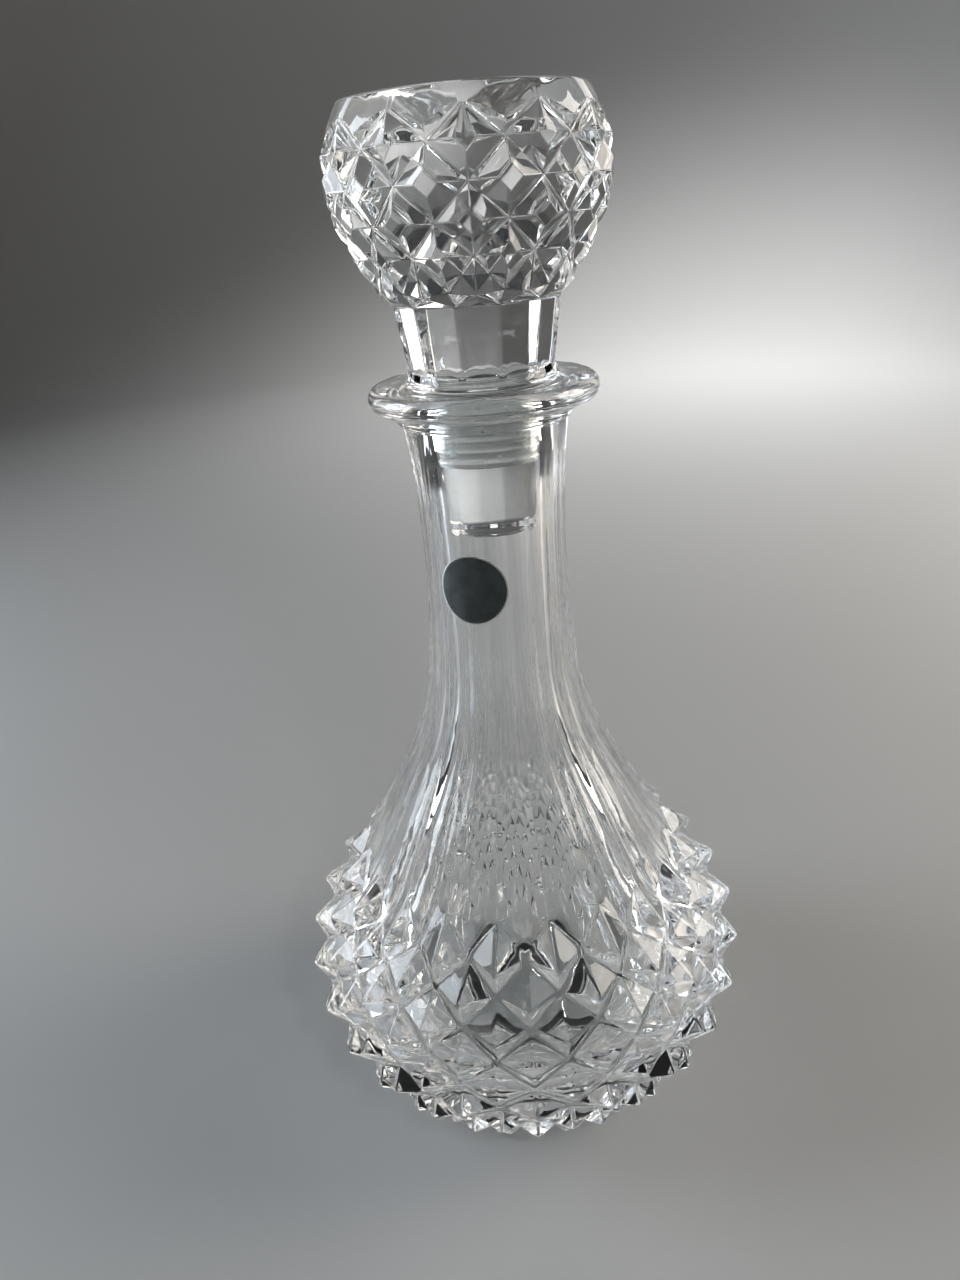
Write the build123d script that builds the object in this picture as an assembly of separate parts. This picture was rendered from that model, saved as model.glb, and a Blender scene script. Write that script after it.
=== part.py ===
from build123d import *
from math import cos, radians, sin
import os

os.makedirs("parts", exist_ok=True)

# A cut crystal decanter: a hollow bottle, a solid stopper, the plastic seal on its plug, a foil label.
# Millimetres, +Z up, origin at the centre of the flat foot.
# Angles are in degrees about Z, from the front (-Y) towards +X.

# ---- driving dimensions --------------------------------------------------------------
# belly: staggered rows of pointed pyramids between V-cuts
BELLY_COUNT = 20                          # pyramids in a row, and flutes on the neck
BELLY_HEIGHT = 42.9                       # height of the widest row
POINT_RADIUS, POINT_RISE = 68.2, 52.0     # half axes of the ellipse that carries the points
GROOVE_RADIUS, GROOVE_RISE = 63.2, 47.0   # half axes of the ellipse that carries the crossings
FIRST_ROW, ROW_STEP = 52.4, 8.9           # distances along that ellipse, from its top
ROW_COUNT = 10
CROWN_RADIUS, CROWN_HEIGHT = 45.1, 82.5   # where a neck ridge meets a pyramid of the first row

# foot: a short plain band, flat underneath, with a shallow recess inside a standing ring
FOOT_RADIUS, FOOT_EDGE = 38.5, 1.2
BAND_RADIUS, BAND_HEIGHT = 39.4, 6.3      # the band runs up to the lowest crossings
UNDERSIDE_POINT = -36.7                   # the faces below the last row aim at this height on Z
RECESS_RADIUS, RECESS_DEPTH = 31.0, 1.2

# neck: height, radius over the ridges and depth of the flutes, from the top down
NECK_SECTIONS = [
    (207.0, 21.0, 0.05),
    (202.0, 20.3, 0.10),
    (194.0, 19.6, 0.18),
    (180.0, 19.1, 0.32),
    (165.0, 19.25, 0.42),
    (147.0, 20.4, 0.60),
    (132.0, 22.4, 0.80),
    (120.5, 25.7, 1.05),
    (108.4, 31.2, 1.35),
    (96.8, 37.4, 1.70),
    (82.5, 45.1, 2.00),
    (72.0, 50.2, 1.10),
]

# lip: a flat round flange with a rounded edge, on a small step
LIP_RADIUS, LIP_TOP, LIP_EDGE = 28.9, 216.7, 2.2
LIP_UNDERSIDE, LIP_ROOT = 210.2, 24.0
STEP_RADIUS, STEP_HEIGHT = 22.4, 208.2

# inside
BORE_RADIUS = 13.2
SEAT_RADIUS, SEAT_HEIGHT = 20.6, 216.1    # shallow dish in the lip, where the stopper stands
MOUTH_RADIUS, MOUTH_DEPTH = 17.0, 3.5
BORE_BOTTOM = 140.0
# radius and height down the shoulder
SHOULDER = [(17.0, 121.0), (22.5, 108.0), (30.0, 94.5), (38.5, 79.0), (49.5, 62.0)]
CAVITY_RADIUS, CAVITY_DROP = 56.0, 33.0     # the bowl's radius, and its depth below the widest row

# stopper, all of it solid glass
STOPPER_COUNT = 12                        # pyramids in a row, and flat facets on the stem
PLUG_RADIUS, PLUG_TIP_RADIUS = 12.1, 11.0
PLUG_BOTTOM, PLUG_SHOULDER = 179.3, 197.0
PLUG_EDGE = 1.6
BEAD_RADIUS, BEAD_ROUND, BEAD_HEIGHT = 19.4, 0.8, 2.4
FLARE_TOP_RADIUS, FLARE_HEIGHT = 17.3, 9.0     # the round flare above the bead, up to the facets
STEM_RADIUS, STEM_TOP_RADIUS = 18.1, 20.6      # over the corners
STEM_BOTTOM, STEM_TOP = 218.0, 235.8
# radius and height of the crossings, from above the cut rim down to the stem
HEAD_ROWS = [
    (28.6, 281.2),
    (30.1, 274.8),
    (30.6, 268.3),
    (30.8, 260.7),
    (29.5, 253.3),
    (26.1, 246.5),
    (23.1, 239.0),
]
HEAD_POINTS = [32.8, 34.4, 34.8, 33.3, 29.4]   # radius where the sides of each pyramid would meet
LAST_POINT = (23.6, 238.2)                # the half pyramids above the stem are pointed
PEAK_HEIGHT = 340.0                       # the cuts close here, far above the turned top
TIP_CUT = 0.36                            # each full pyramid stops at a flat of this share of it
RIM_RADIUS, RIM_HEIGHT, TOP_HEIGHT = 28.2, 278.4, 279.0
TURNED = [(30.4, 274.2), (34.0, 265.6)]   # radius and height below the rim, which trim the first row

# seal: a ribbed collar on the plug
SEAL_BOTTOM, SEAL_TOP = 198.0, 212.0
SEAL_RADIUS, RIB_RADIUS, RIB_HEIGHT = 12.8, 13.14, 1.0
RIB_COUNT = 5
SEAL_CLEARANCE = 0.05                     # all round the plug

# label: a round foil sticker that bridges the flutes
LABEL_DIAMETER, LABEL_THICKNESS, LABEL_GAP = 18.5, 0.25, 0.02
LABEL_HEIGHT, LABEL_ANGLE = 167.5, -20.0


# ---- helpers -----------------------------------------------------------------------------
def ring(radius, height, count, half_step):
    """Points evenly spaced around Z, turned by half a step or not."""
    points = []
    for index in range(count):
        angle = radians((index + 0.5 * half_step) * 360 / count)
        points.append(Vector(radius * sin(angle), -radius * cos(angle), height))
    return points


def facet(*corners):
    """A flat face through its corners."""
    return Face(Wire.make_polygon(corners, close=True))


def fan(whole, half, middle):
    """Faces from the zigzag between a ring and the ring half a step on, to a point inside."""
    zigzag = [point for pair in zip(whole, half) for point in pair]
    return [facet(zigzag[index - 1], zigzag[index], middle) for index in range(len(zigzag))]


def pyramid(tip, top, left, bottom, right, cut=0.0):
    """The sides of a four-sided pyramid, with its tip cut off flat if asked."""
    corners = [top, left, bottom, right]
    if not cut:
        return [facet(tip, corners[index - 1], corners[index]) for index in range(4)]
    normal = (top - bottom).cross(right - left)
    depth = normal.dot(top - tip) * cut
    flat = [tip + (corner - tip) * (depth / normal.dot(corner - tip)) for corner in (left, right)]
    flat = [tip + (top - tip) * cut, flat[0], tip + (bottom - tip) * cut, flat[1]]
    sides = [facet(flat[i - 1], corners[i - 1], corners[i], flat[i]) for i in range(4)]
    return [facet(*flat)] + sides


def sides(rings, row, index):
    """The crossings above, left of, below and right of a pyramid; odd rows are half a step on."""
    count = len(rings[row])
    left = rings[row][index - 1 + row % 2]
    right = rings[row][(index + row % 2) % count]
    return rings[row - 1][index], left, rings[row + 1][index], right


def lathe(*points):
    """A solid of revolution from an outline of (radius, height) points."""
    outline = Polyline(*[(radius, 0, height) for radius, height in points], close=True)
    return revolve(make_face(outline), Axis.Z)


def save(solid, name):
    solid.label = name
    export_step(solid, f"parts/{name}.step")
    print(name, "valid" if solid.is_valid else "BROKEN", round(solid.volume / 1000, 2), "cm3")


# ---- bottle --------------------------------------------------------------------------------
def groove_rows():
    """Radius and height of each row of crossings, evenly spaced down the belly."""
    profile = EllipticalCenterArc((0, 0), GROOVE_RADIUS, GROOVE_RISE, start_angle=-90, arc_size=180)
    distances = [profile.length - FIRST_ROW - index * ROW_STEP for index in range(ROW_COUNT)]
    points = [profile.position_at(far, position_mode=PositionMode.LENGTH) for far in distances]
    return [(point.X, BELLY_HEIGHT + point.Y) for point in points]


def belly():
    """Rows of pyramids, closed above and below by fans of faces that the neck and foot cover."""
    rows = [(CROWN_RADIUS, CROWN_HEIGHT)] + groove_rows()
    rings = [ring(*row, BELLY_COUNT, number % 2 == 0) for number, row in enumerate(rows)]
    faces = fan(rings[1], rings[0], Vector(0, 0, CROWN_HEIGHT))
    faces += fan(rings[-2], rings[-1], Vector(0, 0, UNDERSIDE_POINT))
    for row in range(1, len(rings) - 1):
        height = rows[row][1]
        radius = POINT_RADIUS * (1 - ((height - BELLY_HEIGHT) / POINT_RISE) ** 2) ** 0.5
        for index, tip in enumerate(ring(radius, height, BELLY_COUNT, row % 2)):
            faces += pyramid(tip, *sides(rings, row, index))
    return split(Solid(Shell(faces)), bisect_by=Plane.XY, keep=Keep.TOP)


def fluted_section(height, radius, depth):
    """A ring of shallow hollows, with its corners on the ridges between the flutes."""
    ridges = ring(radius, height, BELLY_COUNT, True)
    hollows = ring(radius - depth, height, BELLY_COUNT, False)
    arcs = [ThreePointArc(ridges[i - 1], hollows[i], ridges[i]) for i in range(BELLY_COUNT)]
    return Wire([arc.edge() for arc in arcs])


def neck():
    return Solid.make_loft([fluted_section(*section) for section in NECK_SECTIONS])


def lip():
    """The flange at the top of the neck, on its step."""
    flange = lathe((0, LIP_UNDERSIDE), (LIP_ROOT, LIP_UNDERSIDE), (LIP_RADIUS, LIP_UNDERSIDE + 2),
                   (LIP_RADIUS, LIP_TOP), (0, LIP_TOP))
    rim = flange.edges().filter_by(GeomType.CIRCLE).sort_by(SortBy.RADIUS)[-2:]
    flange = fillet(rim, LIP_EDGE)
    neck_top = NECK_SECTIONS[0]
    step = lathe((0, neck_top[0] - 1), (neck_top[1] - 0.5, neck_top[0] - 1),
                 (STEP_RADIUS, STEP_HEIGHT), (LIP_ROOT - 1, LIP_UNDERSIDE + 1),
                 (0, LIP_UNDERSIDE + 1))
    return flange + step


def foot():
    """The band under the belly, and the recess to cut from it."""
    band = lathe((0, 0), (FOOT_RADIUS - FOOT_EDGE, 0), (FOOT_RADIUS, FOOT_EDGE),
                 (BAND_RADIUS, BAND_HEIGHT), (0, BAND_HEIGHT))
    recess = lathe((0, 0), (RECESS_RADIUS, 0), (RECESS_RADIUS - RECESS_DEPTH, RECESS_DEPTH),
                   (0, RECESS_DEPTH))
    return band, recess


def cavity():
    """Mouth, bore, shoulder and rounded belly, as one turned space."""
    mouth_foot = SEAT_HEIGHT - MOUTH_DEPTH
    flare = MOUTH_RADIUS - BORE_RADIUS
    centre = BELLY_HEIGHT
    outline = [
        Polyline((0, 0, LIP_TOP), (SEAT_RADIUS + LIP_TOP - SEAT_HEIGHT, 0, LIP_TOP),
                 (SEAT_RADIUS, 0, SEAT_HEIGHT), (MOUTH_RADIUS, 0, SEAT_HEIGHT)),
        ThreePointArc((MOUTH_RADIUS, 0, SEAT_HEIGHT),
                      (BORE_RADIUS + 0.3 * flare, 0, mouth_foot + 0.7 * MOUTH_DEPTH),
                      (BORE_RADIUS, 0, mouth_foot)),
        Line((BORE_RADIUS, 0, mouth_foot), (BORE_RADIUS, 0, BORE_BOTTOM)),
        Spline((BORE_RADIUS, 0, BORE_BOTTOM), *[(radius, 0, height) for radius, height in SHOULDER],
               (CAVITY_RADIUS, 0, centre), tangents=[(0, 0, -1), (0, 0, -1)]),
    ]
    bowl = EllipticalCenterArc((0, centre), CAVITY_RADIUS, CAVITY_DROP, start_angle=-90, arc_size=90)
    outline.append(Plane.XZ * bowl)
    outline.append(Line((0, 0, centre - CAVITY_DROP), (0, 0, LIP_TOP)))
    edges = [edge for line in outline for edge in line.edges()]
    return revolve(make_face(Wire(edges)), Axis.Z)


def bottle():
    band, recess = foot()
    return belly() + neck() + lip() + band - recess - cavity()


# ---- stopper -------------------------------------------------------------------------------
def head_and_stem():
    """Rows of cut pyramids over a stem of flat facets."""
    rings = [ring(*row, STOPPER_COUNT, number % 2 == 0) for number, row in enumerate(HEAD_ROWS)]
    faces = fan(rings[1], rings[0], Vector(0, 0, PEAK_HEIGHT))
    for row, radius in enumerate(HEAD_POINTS, start=1):
        for index, tip in enumerate(ring(radius, HEAD_ROWS[row][1], STOPPER_COUNT, row % 2)):
            faces += pyramid(tip, *sides(rings, row, index), cut=TIP_CUT)
    stem_top = ring(STEM_TOP_RADIUS, STEM_TOP, STOPPER_COUNT, True)
    stem_foot = ring(STEM_RADIUS, STEM_BOTTOM, STOPPER_COUNT, True)
    for index, tip in enumerate(ring(*LAST_POINT, STOPPER_COUNT, False)):
        above, left, right = rings[-2][index], rings[-1][index - 1], rings[-1][index]
        low_left, low_right = stem_top[index - 1], stem_top[index]
        faces += [facet(tip, above, left), facet(tip, left, low_left), facet(tip, low_left, low_right)]
        faces += [facet(tip, low_right, right), facet(tip, right, above)]
        faces.append(facet(low_left, stem_foot[index - 1], stem_foot[index], low_right))
    faces.append(facet(*stem_foot))
    return Solid(Shell(faces))


def stopper():
    widest = max(HEAD_POINTS)
    blank = lathe((0, STEM_BOTTOM - 1), (widest, STEM_BOTTOM - 1), (widest, TURNED[1][1]),
                  *reversed(TURNED), (RIM_RADIUS, RIM_HEIGHT), (0, TOP_HEIGHT))
    bead_top = SEAT_HEIGHT + BEAD_HEIGHT
    flare_top = SEAT_HEIGHT + FLARE_HEIGHT
    bead = lathe((0, SEAT_HEIGHT), (BEAD_RADIUS - BEAD_ROUND, SEAT_HEIGHT),
                 (BEAD_RADIUS, SEAT_HEIGHT + BEAD_ROUND), (BEAD_RADIUS, bead_top - BEAD_ROUND),
                 (BEAD_RADIUS - BEAD_ROUND, bead_top), (STEM_RADIUS, (bead_top + flare_top) / 2),
                 (FLARE_TOP_RADIUS, flare_top), (0, flare_top))
    plug = lathe((0, PLUG_BOTTOM), (PLUG_TIP_RADIUS - PLUG_EDGE, PLUG_BOTTOM),
                 (PLUG_TIP_RADIUS, PLUG_BOTTOM + PLUG_EDGE), (PLUG_RADIUS, PLUG_SHOULDER),
                 (PLUG_RADIUS, SEAT_HEIGHT + 1), (0, SEAT_HEIGHT + 1))
    return (head_and_stem() & blank) + bead + plug


# ---- seal and label --------------------------------------------------------------------------
def stopper_seal():
    inner = PLUG_RADIUS + SEAL_CLEARANCE
    pitch = (SEAL_TOP - SEAL_BOTTOM) / RIB_COUNT
    outline = [(inner, SEAL_BOTTOM), (SEAL_RADIUS, SEAL_BOTTOM)]
    for index in range(RIB_COUNT):
        middle = SEAL_BOTTOM + (index + 0.5) * pitch
        outline += [(SEAL_RADIUS, middle - RIB_HEIGHT), (RIB_RADIUS, middle - RIB_HEIGHT / 4)]
        outline += [(RIB_RADIUS, middle + RIB_HEIGHT / 4), (SEAL_RADIUS, middle + RIB_HEIGHT)]
    outline += [(SEAL_RADIUS, SEAL_TOP), (inner, SEAL_TOP)]
    return lathe(*outline)


def label():
    """A disc cut from a thin sleeve that follows the ridges of the neck."""
    inner = [(radius + LABEL_GAP, height) for height, radius, depth in NECK_SECTIONS[2:6]]
    outer = [(radius + LABEL_THICKNESS, height) for radius, height in reversed(inner)]
    sleeve = lathe(*inner, *outer)
    front = Plane(origin=(0, 0, LABEL_HEIGHT), z_dir=(0, -1, 0))
    outwards = (Align.CENTER, Align.CENTER, Align.MIN)
    punch = Cylinder(LABEL_DIAMETER / 2, 2 * LIP_RADIUS, align=outwards)
    return sleeve & front.rotated((0, 0, LABEL_ANGLE)) * punch


save(bottle(), "bottle")
save(stopper(), "stopper")
save(stopper_seal(), "stopper_seal")
save(label(), "label")
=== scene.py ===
import bmesh
import bpy
import numpy as np
from math import cos, degrees, pi, radians, sin, sqrt
from mathutils import Matrix, Vector


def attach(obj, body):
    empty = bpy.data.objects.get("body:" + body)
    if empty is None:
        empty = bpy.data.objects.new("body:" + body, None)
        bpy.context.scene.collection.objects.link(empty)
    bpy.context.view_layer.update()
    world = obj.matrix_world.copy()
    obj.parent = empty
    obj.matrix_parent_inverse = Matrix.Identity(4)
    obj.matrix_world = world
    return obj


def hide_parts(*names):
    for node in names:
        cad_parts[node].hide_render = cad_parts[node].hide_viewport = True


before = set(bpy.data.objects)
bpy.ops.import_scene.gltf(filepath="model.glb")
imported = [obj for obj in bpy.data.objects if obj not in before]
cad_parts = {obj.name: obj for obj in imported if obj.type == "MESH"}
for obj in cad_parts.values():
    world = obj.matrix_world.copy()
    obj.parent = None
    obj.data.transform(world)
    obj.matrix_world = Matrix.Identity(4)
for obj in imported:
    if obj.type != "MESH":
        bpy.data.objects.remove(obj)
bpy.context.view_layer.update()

MM = 0.001
# Lengths below are millimetres and angles degrees about Z, from the front (-Y) towards +X.

# ---- dimensions, as in the CAD ---------------------------------------------------------
COUNT = 20                                 # flutes on the neck, pyramids in a row
ACROSS = 8                                 # mesh columns in a flute
POINT_ELLIPSE, GROOVE_ELLIPSE, BELLY_HEIGHT = (68.2, 52.0), (63.2, 47.0), 42.9
FIRST_ROW, ROW_STEP, ROW_COUNT = 52.4, 8.9, 10
CROWN = (45.1, 82.5)
FOOT_CORNER = (39.2, 3.5)
# height, radius over the ridges, depth of the flutes
NECK = [
    (207.0, 21.0, 0.05), (202.0, 20.3, 0.10), (194.0, 19.6, 0.18), (180.0, 19.1, 0.32),
    (165.0, 19.25, 0.42), (147.0, 20.4, 0.60), (132.0, 22.4, 0.80), (120.5, 25.7, 1.05),
    (108.4, 31.2, 1.35), (96.8, 37.4, 1.70), (82.5, 45.1, 2.00), (72.0, 50.2, 1.10),
]
LABEL_RADIUS, LABEL_HEIGHT, LABEL_ANGLE = 9.25, 167.5, -20.0
LABEL_THICKNESS, LABEL_GAP, LABEL_DIP = 0.22, 0.04, 0.06
BORE = 13.2
SHOULDER = [(13.2, 140), (17, 121), (22.5, 108), (30, 94.5), (38.5, 79), (49.5, 62), (56, 42.9)]
BOWL_DROP = 33.0

HEAD_COUNT = 12
HEAD_ROWS = [
    (28.6, 281.2), (30.1, 274.8), (30.6, 268.3), (30.8, 260.7), (29.5, 253.3), (26.1, 246.5),
    (23.1, 239.0),
]
HEAD_POINTS = [32.8, 34.4, 34.8, 33.3, 29.4]
LAST_POINT = (23.6, 238.2)
TIP_CUT = 0.36
STEM = [(20.6, 235.8), (18.1, 218.0)]
PEAK = (0, 0, 340.0)                       # the cuts close here, far above the turned top

SEAL_BOTTOM, SEAL_HEIGHT, RIB_COUNT = 198.0, 14.0, 5
SEAL_INSIDE, SEAL_RADIUS, RIB_RADIUS = 12.15, 12.8, 13.12


# ---- geometry helpers ------------------------------------------------------------------
def at(radius, height, angle):
    return (radius * sin(radians(angle)), -radius * cos(radians(angle)), height)


def mix(a, b, share):
    return tuple(x + (y - x) * share for x, y in zip(a, b))


def curve(points, start=None, end=None, count=40):
    """Points along a smooth curve through the given ones, with its end directions if given."""
    knots = np.array(points, float)
    steps = np.linalg.norm(np.diff(knots, axis=0), axis=1)
    at_knot = np.concatenate([[0], np.cumsum(steps)])
    size = len(knots)
    system, known = np.zeros((size, size)), np.zeros_like(knots)
    for i in range(1, size - 1):
        before, after = steps[i - 1], steps[i]
        system[i, i - 1:i + 2] = after, 2 * (before + after), before
        known[i] = 3 * (after / before * (knots[i] - knots[i - 1])
                        + before / after * (knots[i + 1] - knots[i]))
    for i, j, way in ((0, 1, start), (-1, -2, end)):
        system[i, i] = 1
        if way is None:
            known[i] = (knots[j] - knots[i]) / steps[i] * (1 if i == 0 else -1)
        else:
            known[i] = way
    slopes = np.linalg.solve(system, known)
    made = []
    for far in np.linspace(0, at_knot[-1], count):
        i = min(max(np.searchsorted(at_knot, far) - 1, 0), size - 2)
        t = (far - at_knot[i]) / steps[i]
        made.append((2 * t**3 - 3 * t**2 + 1) * knots[i] + (3 * t**2 - 2 * t**3) * knots[i + 1]
                    + steps[i] * ((t**3 - 2 * t**2 + t) * slopes[i] + (t**3 - t**2) * slopes[i + 1]))
    return [tuple(p) for p in made]


def arc(centre, across, up, start, end, count):
    """Points on an ellipse from one angle to another, in degrees."""
    turns = [radians(start + (end - start) * i / (count - 1)) for i in range(count)]
    return [(centre[0] + across * cos(t), centre[1] + up * sin(t)) for t in turns]


class Shape:
    """Faces that share their corners, and how far each edge is rounded off."""

    def __init__(self):
        self.points, self.number, self.faces, self.rounding = [], {}, [], {}

    def corner(self, point):
        key = tuple(round(c, 4) + 0.0 for c in point)
        if key not in self.number:
            self.number[key] = len(self.points)
            self.points.append(point)
        return self.number[key]

    def face(self, *points):
        ids = [self.corner(p) for p in points]
        ids = [i for n, i in enumerate(ids) if i != ids[n - 1]]
        if len(ids) > 2:
            self.faces.append(ids)

    def strip(self, upper, lower):
        """Faces between two rows of points."""
        for i in range(len(upper) - 1):
            self.face(upper[i], lower[i], lower[i + 1], upper[i + 1])

    def soften(self, points, amount):
        """Round off the edges along a line of points."""
        for a, b in zip(points, points[1:]):
            self.rounding[frozenset((self.corner(a), self.corner(b)))] = amount

    def object(self, name):
        mesh = bpy.data.meshes.new(name)
        mesh.from_pydata([Vector(p) * MM for p in self.points], [], self.faces)
        mesh.validate()
        weight = mesh.attributes.new("bevel_weight_edge", "FLOAT", "EDGE")
        for edge in mesh.edges:
            weight.data[edge.index].value = self.rounding.get(frozenset(edge.vertices), 0)
        mesh.shade_smooth()
        made = bpy.data.objects.new(name, mesh)
        bpy.context.scene.collection.objects.link(made)
        return made


def lathe(shape, outline, columns):
    """A surface turned about Z. An outline point on the axis closes it."""
    angles = [360 * i / columns for i in range(columns + 1)]
    rows = [[at(r, z, a) for a in angles] for r, z in outline]
    for upper, lower in zip(rows, rows[1:]):
        shape.strip(upper, lower)


def pyramid(shape, tip, top, left, bottom, right, cut=0.0, groove=1.0, ridge=0.85, extra=None):
    """Four sides, with a flat at the tip if cut. extra holds points on a groove, by its ends."""
    corners = [top, left, bottom, right]
    ends = [tip] * 4
    if cut:
        t, l, b, r, p = (Vector(c) for c in (top, left, bottom, right, tip))
        normal = (t - b).cross(r - l)
        depth = normal.dot(t - p) * cut
        ends = [tuple(p + (c - p) * share) for c, share in (
            (t, cut), (l, depth / normal.dot(l - p)), (b, cut), (r, depth / normal.dot(r - p)))]
        shape.face(*ends)
        shape.soften(ends + ends[:1], ridge)
    for i in range(4):
        a, b = corners[i - 1], corners[i]
        line = [a, *(extra or {}).get((i - 1) % 4, []), b]
        shape.face(ends[i - 1], *line, ends[i])
        shape.soften(line, groove)
        shape.soften([ends[i], b], ridge)


def add_modifier(obj, kind, **settings):
    modifier = obj.modifiers.new(kind, kind)
    for key, value in settings.items():
        setattr(modifier, key, value)
    return modifier


def settle(obj):
    """Apply the modifiers."""
    graph = bpy.context.evaluated_depsgraph_get()
    mesh = bpy.data.meshes.new_from_object(obj.evaluated_get(graph))
    obj.modifiers.clear()
    obj.data = mesh
    return obj


def combine(obj, other, operation):
    add_modifier(obj, "BOOLEAN", operation=operation, object=other, solver="EXACT")
    settle(obj)
    bpy.data.objects.remove(other)


def drop_slivers(obj):
    """Merge corners that lie on each other, and remove the empty faces that booleans leave."""
    mesh = bmesh.new()
    mesh.from_mesh(obj.data)
    bmesh.ops.remove_doubles(mesh, verts=mesh.verts, dist=0.005 * MM)
    bmesh.ops.dissolve_degenerate(mesh, edges=mesh.edges, dist=0.005 * MM)
    bmesh.ops.triangulate(mesh, faces=[face for face in mesh.faces if len(face.verts) > 4])
    mesh.to_mesh(obj.data)
    mesh.free()


def drop_normals(obj, sharp):
    """Smooth shading in which flat faces stay flat and edges past an angle stay sharp."""
    obj.data.shade_smooth()
    obj.data.set_sharp_from_angle(angle=radians(sharp))
    add_modifier(obj, "WEIGHTED_NORMAL", mode="FACE_AREA_WITH_ANGLE", keep_sharp=True, weight=80)
    settle(obj)


# ---- bottle ----------------------------------------------------------------------------
PITCH = 360 / COUNT


def neck_levels():
    """Height, radius over the ridges and depth of the flutes, closely spaced down the neck."""
    levels = [level for level in curve(NECK, count=56) if level[0] > CROWN[1] + 1]
    return levels + [(CROWN[1], CROWN[0], 2.0)]


def neck_row(height, radius, depth):
    """One level of the fluted neck: every flute is a shallow arc between two ridges."""
    row = []
    for column in range(COUNT * ACROSS + 1):
        flute, part = divmod(column, ACROSS)
        t = 2 * part / ACROSS - 1
        start = Vector(at(radius, height, (flute - 0.5) * PITCH))
        end = Vector(at(radius, height, (flute + 0.5) * PITCH))
        sag = radius * cos(radians(PITCH / 2)) - (radius - depth)
        inwards = Vector(at(-1, 0, flute * PITCH))
        point = start.lerp(end, (t + 1) / 2) + inwards * sag * (1 - t * t)
        row.append(tuple(point))
    return row


def ellipse_rows():
    """Radius and height of each row of crossings, evenly spaced down the belly."""
    across, up = GROOVE_ELLIPSE
    line = arc((0, 0), across, up, 90, -90, 4001)
    far, rows = 0.0, []
    for a, b in zip(line, line[1:]):
        step = sqrt((a[0] - b[0])**2 + (a[1] - b[1])**2)
        wanted = FIRST_ROW + len(rows) * ROW_STEP
        if far + step >= wanted and len(rows) < ROW_COUNT:
            r, z = mix(a, b, (wanted - far) / step)
            rows.append((r, BELLY_HEIGHT + z))
        far += step
    return rows


def between(a, b):
    """Points that split a line into half as many parts as a flute has columns."""
    parts = ACROSS // 2
    return [mix(a, b, i / parts) for i in range(1, parts)]


def crossing(rows, row, index):
    """Even rows stand half a step on."""
    return at(*rows[row], (index + 0.5 * (row % 2 == 0)) * PITCH)


def bottle_shape():
    shape = Shape()
    rows = [CROWN] + ellipse_rows()
    # belly: rows of pyramids
    for row in range(1, ROW_COUNT):
        radius, height = rows[row]
        across, up = POINT_ELLIPSE
        reach = across * sqrt(1 - ((height - BELLY_HEIGHT) / up)**2)
        for index in range(COUNT):
            shift = row % 2
            tip = at(reach, height, (index + 0.5 * shift) * PITCH)
            top = crossing(rows, row - 1, index)
            left, right = crossing(rows, row, index - 1 + shift), crossing(rows, row, index + shift)
            bottom = crossing(rows, row + 1, index)
            extra = {}
            if row == 1:
                extra = {0: between(top, left), 3: between(right, top)}
            if row == ROW_COUNT - 1:
                extra = {1: between(left, bottom), 2: between(bottom, right)}
            pyramid(shape, tip, top, left, bottom, right, extra=extra)
    # neck: flutes that run out in a V between the first pyramids
    neck_rows = [neck_row(*level) for level in neck_levels()]
    for upper, lower in zip(neck_rows, neck_rows[1:]):
        shape.strip(upper, lower)
    for flute in range(COUNT + 1):
        shape.soften([row[flute * ACROSS] for row in neck_rows], 0.35)
    for flute in range(COUNT):
        arch = neck_rows[-1][flute * ACROSS:(flute + 1) * ACROSS + 1]
        left, low, right = arch[0], crossing(rows, 1, flute), arch[-1]
        vee = [left, *between(left, low), low, *between(low, right), right]
        previous = arch
        for part in (0.25, 0.5, 0.75, 1.0):
            line = [mix(a, b, part) for a, b in zip(arch, vee)]
            shape.strip(previous, line)
            previous = line
    # foot: the same zigzag below, down to a plain band and its standing ring
    foot = []
    for index in range(COUNT):
        left, peak, right = (crossing(rows, ROW_COUNT, index - 1), crossing(rows, ROW_COUNT - 1, index),
                             crossing(rows, ROW_COUNT, index))
        corner = at(*FOOT_CORNER, index * PITCH)
        vee = [left, *between(left, peak), peak, *between(peak, right), right]
        low = [left, *between(left, corner), corner, *between(corner, right), right]
        shape.strip(vee, low)
        foot += low if index == 0 else low[1:]
    angles = [(i / ACROSS - 0.5) * PITCH for i in range(COUNT * ACROSS + 1)]
    band = [(38.5, 1.2), (38.35, 0.6), (37.95, 0.15), (37.3, 0), (31.6, 0), (31, 0.15), (29.8, 1.2),
            (24, 1.45), (12, 1.6), (4, 1.65), (0, 1.65)]
    previous = foot
    for r, z in band:
        line = [at(r, z, a) for a in angles]
        shape.strip(previous, line)
        previous = line
    # lip, mouth, bore and cavity
    lip = [(21.6, 207.3), (22.2, 207.9), (22.5, 208.5), (22.75, 209.4), (23.3, 210.0), (24.2, 210.25)]
    lip += [(25.4, 210.7)] + arc((26.7, 214.0), 2.2, 2.7, -75, 90, 12)
    lip += [(24.5, 216.66), (22.2, 216.62), (21.5, 216.5), (21.0, 216.25), (20.5, 216.1), (17.6, 216.1)]
    lip += arc((17.0, 212.6), 3.8, 3.5, 90, 180, 8)
    inside = [(BORE, z) for z in np.linspace(206, 146, 12)]
    inside += curve(SHOULDER, (0, -1), (0, -1), 44)
    inside += arc((0, BELLY_HEIGHT), 56.0, BOWL_DROP, 0, -90, 26)[1:]
    previous = neck_rows[0]
    for r, z in lip + inside:
        line = [at(max(r, 0), z, a) for a in angles]
        shape.strip(line, previous)
        previous = line
    return shape


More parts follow.
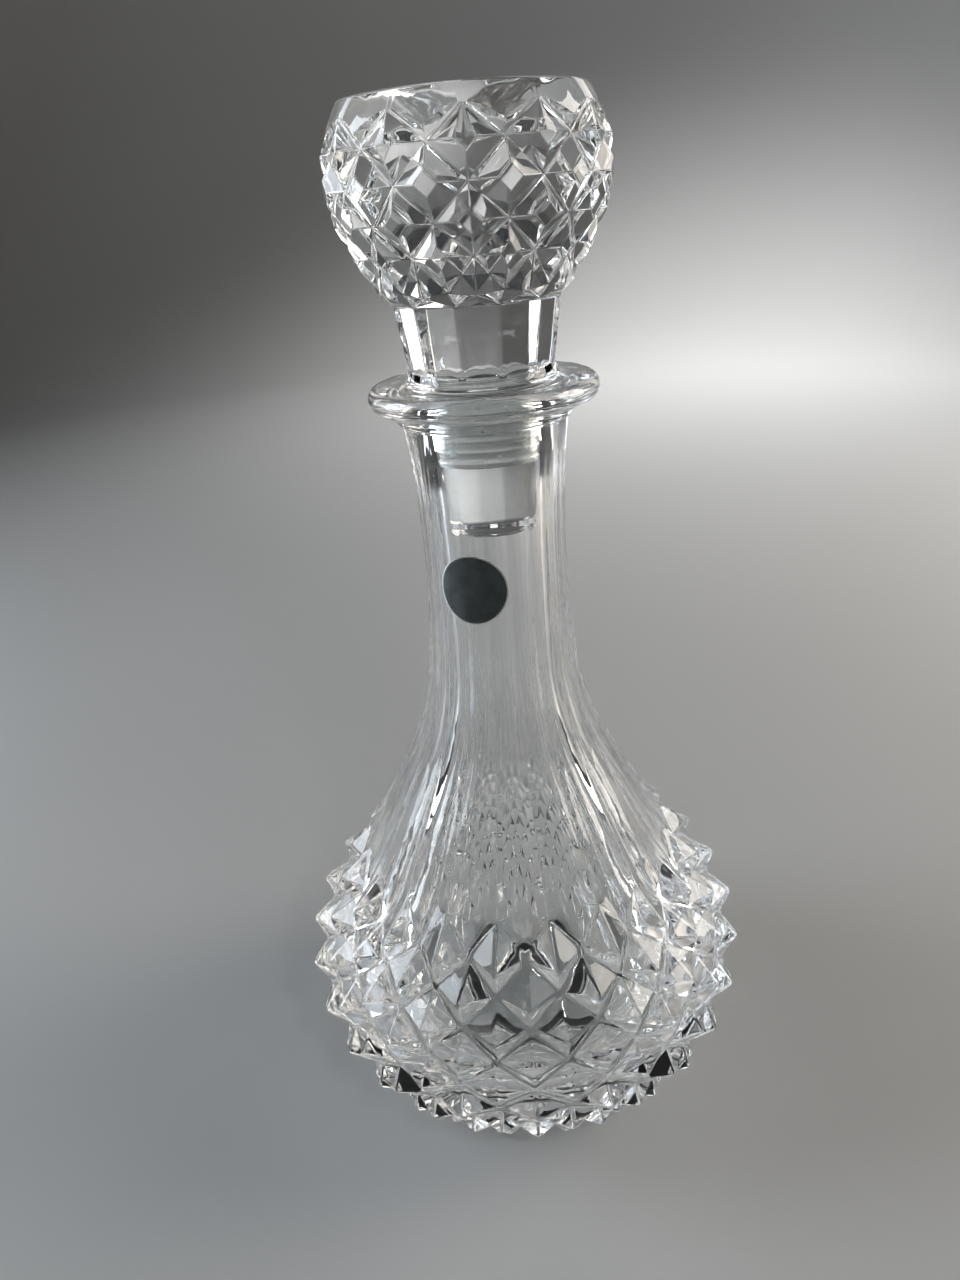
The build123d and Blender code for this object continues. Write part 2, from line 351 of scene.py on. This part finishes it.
def make_bottle():
    shape = bottle_shape()
    bottle = shape.object("bottle_glass")
    add_modifier(bottle, "BEVEL", limit_method="WEIGHT", width=1.0 * MM, segments=3, profile=0.5,
                 use_clamp_overlap=False, loop_slide=True, miter_outer="MITER_SHARP")
    settle(bottle)
    bottle.data.shade_smooth()
    bottle.data.set_sharp_from_angle(angle=radians(50))
    return bottle


# ---- stopper ---------------------------------------------------------------------------
def head_shape():
    shape = Shape()
    pitch = 360 / HEAD_COUNT

    def spot(row, index):
        return at(*HEAD_ROWS[row], (index + 0.5 * (row % 2 == 0)) * pitch)

    for index in range(HEAD_COUNT):
        shape.face(spot(1, index), spot(0, index), PEAK)
        shape.face(spot(0, index - 1), spot(1, index), PEAK)
    for row, reach in enumerate(HEAD_POINTS, start=1):
        shift = row % 2
        for index in range(HEAD_COUNT):
            tip = at(reach, HEAD_ROWS[row][1], (index + 0.5 * shift) * pitch)
            pyramid(shape, tip, spot(row - 1, index), spot(row, index - 1 + shift),
                    spot(row + 1, index), spot(row, index + shift), cut=TIP_CUT, ridge=0.7)
    stem = [[at(*level, (i - 0.5) * pitch) for i in range(HEAD_COUNT + 1)] for level in STEM]
    for index in range(HEAD_COUNT):
        tip, above = at(*LAST_POINT, index * pitch), spot(5, index)
        left, right = spot(6, index - 1), spot(6, index)
        low_left, low_right = stem[0][index], stem[0][index + 1]
        for a, b in ((above, left), (left, low_left), (low_left, low_right), (low_right, right),
                     (right, above)):
            shape.face(tip, a, b)
            shape.soften([tip, a], 0.7)
            shape.soften([a, b], 0.7)
    shape.strip(*stem)
    for index in range(HEAD_COUNT):
        shape.soften([stem[0][index], stem[1][index]], 1.0)
        shape.face((0, 0, STEM[1][1]), stem[1][index + 1], stem[1][index])
    return shape


def make_stopper():
    stopper = head_shape().object("stopper_glass")
    add_modifier(stopper, "BEVEL", limit_method="WEIGHT", width=0.4 * MM, segments=2, profile=0.5,
                 use_clamp_overlap=False, loop_slide=True)
    settle(stopper)
    blank = Shape()
    lathe(blank, [(0, 279.0), (14, 278.85), (24, 278.62), (27.4, 278.5), (28.0, 278.35), (28.4, 277.9),
                  (30.4, 274.2), (34.0, 265.6), (36.0, 260.0), (36.0, 217.0), (0, 217.0)], 120)
    combine(stopper, blank.object("blank"), "INTERSECT")
    turned = Shape()
    outline = [(0, 227.5), (15.5, 227.5), (16.9, 225.2), (17.3, 223.0), (17.7, 221.4), (18.1, 220.2),
               (18.45, 219.2), (18.75, 218.7)]
    # the bead ends just clear of the lip, so that no two glass faces lie in one plane
    outline += arc((18.4, 217.3), 1.0, 1.18, 60, -90, 9)
    outline += [(16.0, 216.12), (13.6, 215.9), (12.5, 215.3), (12.1, 214.2), (12.1, 197.0), (11.0, 180.9)]
    outline += arc((9.4, 180.9), 1.6, 1.6, 0, -90, 7)[1:]
    outline += [(8.0, 179.33), (4.0, 179.5), (0, 179.55)]
    lathe(turned, outline, 120)
    combine(stopper, turned.object("turned"), "UNION")
    drop_slivers(stopper)
    drop_normals(stopper, 28)
    return stopper


# ---- seal and label --------------------------------------------------------------------
def make_seal():
    shape = Shape()
    top = SEAL_BOTTOM + SEAL_HEIGHT
    outline = [(SEAL_INSIDE, SEAL_BOTTOM + 0.25), (12.35, SEAL_BOTTOM), (12.7, SEAL_BOTTOM + 0.1),
               (SEAL_RADIUS, SEAL_BOTTOM + 0.4)]
    slope = [(SEAL_RADIUS, 0.85), (12.86, 0.6), (13.03, 0.35), (RIB_RADIUS, 0.12)]
    for rib in range(RIB_COUNT):
        middle = SEAL_BOTTOM + (rib + 0.5) * SEAL_HEIGHT / RIB_COUNT
        outline += [(radius, middle - away) for radius, away in slope]
        outline += [(radius, middle + away) for radius, away in reversed(slope)]
    outline += [(SEAL_RADIUS, top - 0.4), (12.7, top - 0.1), (12.35, top), (SEAL_INSIDE, top - 0.25)]
    outline.append(outline[0])
    lathe(shape, outline[::-1], 96)
    seal = shape.object("plug_seal")
    drop_normals(seal, 60)
    return seal


def make_label():
    """A foil disc that lies on the ridges of the neck and dips a little into the flutes."""
    rings, spokes = 16, 72
    heights, ridges, _ = zip(*reversed(neck_levels()))

    def place(across, up, lift):
        ridge = np.interp(LABEL_HEIGHT + up, heights, ridges)
        angle = LABEL_ANGLE + degrees(across / ridge)
        sink = LABEL_DIP * sin(pi * (angle / PITCH - 0.5))**2
        return at(ridge + LABEL_GAP + lift - sink, LABEL_HEIGHT + up, angle)

    shape = Shape()
    tops, bottoms = [], []
    for ring in range(rings + 1):
        reach = LABEL_RADIUS * ring / rings
        spots = [(reach * cos(2 * pi * s / spokes), reach * sin(2 * pi * s / spokes))
                 for s in range(spokes + 1)]
        edge = 0.06 if ring == rings else 0.0
        tops.append([place(x, y, LABEL_THICKNESS - edge) for x, y in spots])
        bottoms.append([place(x, y, 0.0) for x, y in spots])
    for a, b in zip(tops, tops[1:]):
        shape.strip(a, b)
    for a, b in zip(bottoms, bottoms[1:]):
        shape.strip(b, a)
    shape.strip(tops[-1], bottoms[-1])
    label = shape.object("foil_label")
    drop_normals(label, 60)
    return label


# ---- materials -------------------------------------------------------------------------
class Nodes:
    """A material's node tree, written from the output back."""

    def __init__(self, name):
        self.material = bpy.data.materials.new(name)
        self.material.use_nodes = True
        self.tree = self.material.node_tree
        self.tree.nodes.clear()
        self.output = self.add("ShaderNodeOutputMaterial")

    def add(self, kind, inputs=None, **settings):
        node = self.tree.nodes.new(kind)
        for key, value in settings.items():
            setattr(node, key, value)
        for key, value in (inputs or {}).items():
            if isinstance(value, bpy.types.NodeSocket):
                self.tree.links.new(value, node.inputs[key])
            else:
                node.inputs[key].default_value = value
        return node

    def noise(self, scale, detail=2.0, roughness=0.5):
        place = self.add("ShaderNodeTexCoord").outputs["Object"]
        return self.add("ShaderNodeTexNoise", {
            "Vector": place, "Scale": scale, "Detail": detail, "Roughness": roughness}).outputs["Fac"]

    def spread(self, value, low, high, start=0.0, end=1.0):
        return self.add("ShaderNodeMapRange", {
            "Value": value, "From Min": start, "From Max": end, "To Min": low, "To Max": high,
        }).outputs["Result"]


def clear_in_shadow(n, surface, shade):
    """Finish a material that lets light through to the floor without waiting for caustics."""
    clear = n.add("ShaderNodeBsdfTransparent", {"Color": shade})
    path = n.add("ShaderNodeLightPath")
    both = n.add("ShaderNodeMixShader", {
        0: path.outputs["Is Shadow Ray"], 1: surface.outputs[0], 2: clear.outputs[0]})
    n.tree.links.new(both.outputs[0], n.output.inputs["Surface"])
    return n.material


def glass_material(name, tint, ior):
    """Pressed crystal: faint waves in the faces, and a little handling haze."""
    n = Nodes(name)
    waves = n.add("ShaderNodeBump", {"Height": n.noise(95, 1.5), "Strength": 0.5, "Distance": 0.0004})
    fine = n.add("ShaderNodeBump", {
        "Height": n.noise(520, 2.0), "Strength": 0.2, "Distance": 0.00002,
        "Normal": waves.outputs["Normal"]})
    haze = n.spread(n.noise(140, 4.0, 0.6), 0.0, 0.035, 0.45, 0.8)
    glass = n.add("ShaderNodeBsdfPrincipled", {
        "Base Color": tint, "Roughness": haze, "IOR": ior, "Transmission Weight": 1.0,
        "Normal": fine.outputs["Normal"]})
    return clear_in_shadow(n, glass, (0.36, 0.37, 0.37, 1))


def seal_material():
    n = Nodes("clear_flexible_plastic")
    bump = n.add("ShaderNodeBump", {"Height": n.noise(900, 3.0), "Strength": 0.3, "Distance": 0.00003})
    haze = n.spread(n.noise(300, 3.0), 0.12, 0.3, 0.3, 0.7)
    plastic = n.add("ShaderNodeBsdfPrincipled", {
        "Base Color": (0.93, 0.94, 0.93, 1), "Roughness": haze, "IOR": 1.46,
        "Transmission Weight": 0.92, "Normal": bump.outputs["Normal"]})
    return clear_in_shadow(n, plastic, (0.7, 0.71, 0.7, 1))


def foil_material():
    """Dark metallic foil with a bright border and fine creases."""
    n = Nodes("dark_foil")
    place = n.add("ShaderNodeTexCoord").outputs["Object"]
    centre = Vector(at(19.45, LABEL_HEIGHT, LABEL_ANGLE)) * MM
    away = n.add("ShaderNodeVectorMath", {0: place, 1: centre}, operation="DISTANCE").outputs["Value"]
    bright = n.spread(away, 0.0, 1.0, 0.00885, 0.00895)
    cloud = n.noise(220, 3.0)
    dark = n.add("ShaderNodeMix", {
        0: cloud, 6: (0.10, 0.115, 0.115, 1), 7: (0.24, 0.26, 0.265, 1)}, data_type="RGBA")
    colour = n.add("ShaderNodeMix", {0: bright, 6: dark.outputs[2], 7: (0.92, 0.92, 0.9, 1)},
                   data_type="RGBA")
    creases = n.add("ShaderNodeBump", {"Height": n.noise(700, 4.0, 0.6), "Strength": 0.5,
                                       "Distance": 0.00006})
    foil = n.add("ShaderNodeBsdfPrincipled", {
        "Base Color": colour.outputs[2], "Metallic": 1.0, "Roughness": n.spread(cloud, 0.2, 0.36),
        "Normal": creases.outputs["Normal"]})
    n.tree.links.new(foil.outputs[0], n.output.inputs["Surface"])
    return n.material


def floor_material():
    n = Nodes("pale_floor")
    tone = n.add("ShaderNodeMix", {
        0: n.noise(3, 3.0), 6: (0.42, 0.42, 0.415, 1), 7: (0.45, 0.45, 0.445, 1)}, data_type="RGBA")
    paint = n.add("ShaderNodeBsdfPrincipled", {"Base Color": tone.outputs[2], "Roughness": 0.55})
    n.tree.links.new(paint.outputs[0], n.output.inputs["Surface"])
    return n.material


# ---- pieces ----------------------------------------------------------------------------
CRYSTAL_TINT, CRYSTAL_IOR = (0.985, 0.993, 0.992, 1), 1.55
crystal = glass_material("bottle_crystal", CRYSTAL_TINT, CRYSTAL_IOR)
head_crystal = glass_material("stopper_crystal", CRYSTAL_TINT, CRYSTAL_IOR)
for piece, body, node, slot, material in (
    (make_bottle(), "bottle", "bottle", "bottle_crystal", crystal),
    (make_label(), "bottle", "label", "label_foil", foil_material()),
    (make_seal(), "seal", "stopper_seal", "seal_plastic", seal_material()),
    (make_stopper(), "stopper", "stopper", "stopper_crystal", head_crystal),
):
    piece.data.materials.clear()
    piece.data.materials.append(material)
    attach(piece, body)
    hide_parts(node)


# ---- studio ----------------------------------------------------------------------------
def make_floor():
    """A pale floor that turns up into a round backdrop far outside."""
    shape = Shape()
    outline = [(0, 0), (300, 0), (900, 0), (1400, 0)] + arc((1400, 700), 700, 700, -90, 0, 16)[1:]
    outline += [(2100, 2600)]
    lathe(shape, outline[::-1], 96)
    floor = shape.object("floor")
    floor.data.materials.append(floor_material())


def add_light(name, place, aim, size, power, tall=None, spread=180, colour=(1, 1, 1)):
    data = bpy.data.lights.new(name, "AREA")
    data.shape = "RECTANGLE"
    data.size, data.size_y = size, tall or size
    data.energy, data.spread, data.color = power, radians(spread), colour
    lamp = bpy.data.objects.new(name, data)
    lamp.location = place
    lamp.rotation_euler = (Vector(aim) - Vector(place)).to_track_quat("-Z", "Y").to_euler()
    lamp.visible_camera = False
    bpy.context.scene.collection.objects.link(lamp)


def make_camera():
    """The viewpoint: slightly above the lip, close in front, looking down with a small roll."""
    place, lens = (0, -0.24134, 0.25773), 26.72
    pan, pitch, roll = radians(-1.46), radians(24.99), radians(-4.84)
    ahead = Vector((sin(pan) * cos(pitch), cos(pan) * cos(pitch), -sin(pitch)))
    right = Vector((cos(pan), -sin(pan), 0))
    up = right.cross(ahead)
    level, tall = right * cos(roll) + up * sin(roll), up * cos(roll) - right * sin(roll)
    data = bpy.data.cameras.new("camera")
    data.sensor_fit = "VERTICAL"
    data.sensor_width = data.sensor_height = 36
    data.lens = lens
    data.clip_start, data.clip_end = 0.01, 20
    camera = bpy.data.objects.new("camera", data)
    turn = Matrix((level, tall, -ahead)).transposed().to_4x4()
    camera.matrix_world = Matrix.Translation(place) @ turn
    bpy.context.scene.collection.objects.link(camera)
    bpy.context.scene.camera = camera


make_floor()
cool, warm = (0.85, 0.92, 1), (1, 0.93, 0.85)
add_light("key", (0.5, -0.45, 0.8), (0, 0, 0.12), 0.25, 0.3)
add_light("fill", (-0.55, -0.35, 0.45), (0, 0, 0.14), 0.08, 0.15, tall=0.5)
add_light("top", (0, 0.05, 1.0), (0, 0, 0.1), 0.2, 0.3)
add_light("left_side", (-1.0, 0.1, 0.5), (0, 0, 0.14), 0.6, 7.5, tall=0.8, colour=cool)
add_light("right_side", (1.0, 0.1, 0.5), (0, 0, 0.14), 0.6, 7.5, tall=0.8, colour=warm)
add_light("right_edge", (0.6, 0.75, 0.45), (0, 0, 0.16), 0.22, 0.1, tall=0.7, spread=60, colour=warm)
add_light("left_edge", (-0.65, 0.6, 0.45), (0, 0, 0.16), 0.12, 0.08, tall=0.7, spread=60, colour=cool)
add_light("back", (0.4, 1.2, 1.3), (0.4, 1.2, 0), 0.5, 5.4, spread=80)
add_light("backdrop", (1.1, 1.2, 0.9), (0.6, 2.1, 0.55), 0.3, 1.0, spread=130)
add_light("flash", (0.09, -0.27, 0.34), (0, 0, 0.12), 0.02, 0.18, colour=cool)
make_camera()

world = bpy.data.worlds.new("studio")
world.use_nodes = True
world.node_tree.nodes["Background"].inputs["Color"].default_value = (0.9, 0.95, 1.0, 1)
world.node_tree.nodes["Background"].inputs["Strength"].default_value = 0.05
scene = bpy.context.scene
scene.world = world
scene.cycles.max_bounces = 28
scene.cycles.transmission_bounces = 28
scene.cycles.glossy_bounces = 16
scene.cycles.transparent_max_bounces = 16
scene.cycles.use_denoising = True
scene.view_settings.view_transform = "Standard"
scene.view_settings.look = "Medium High Contrast"
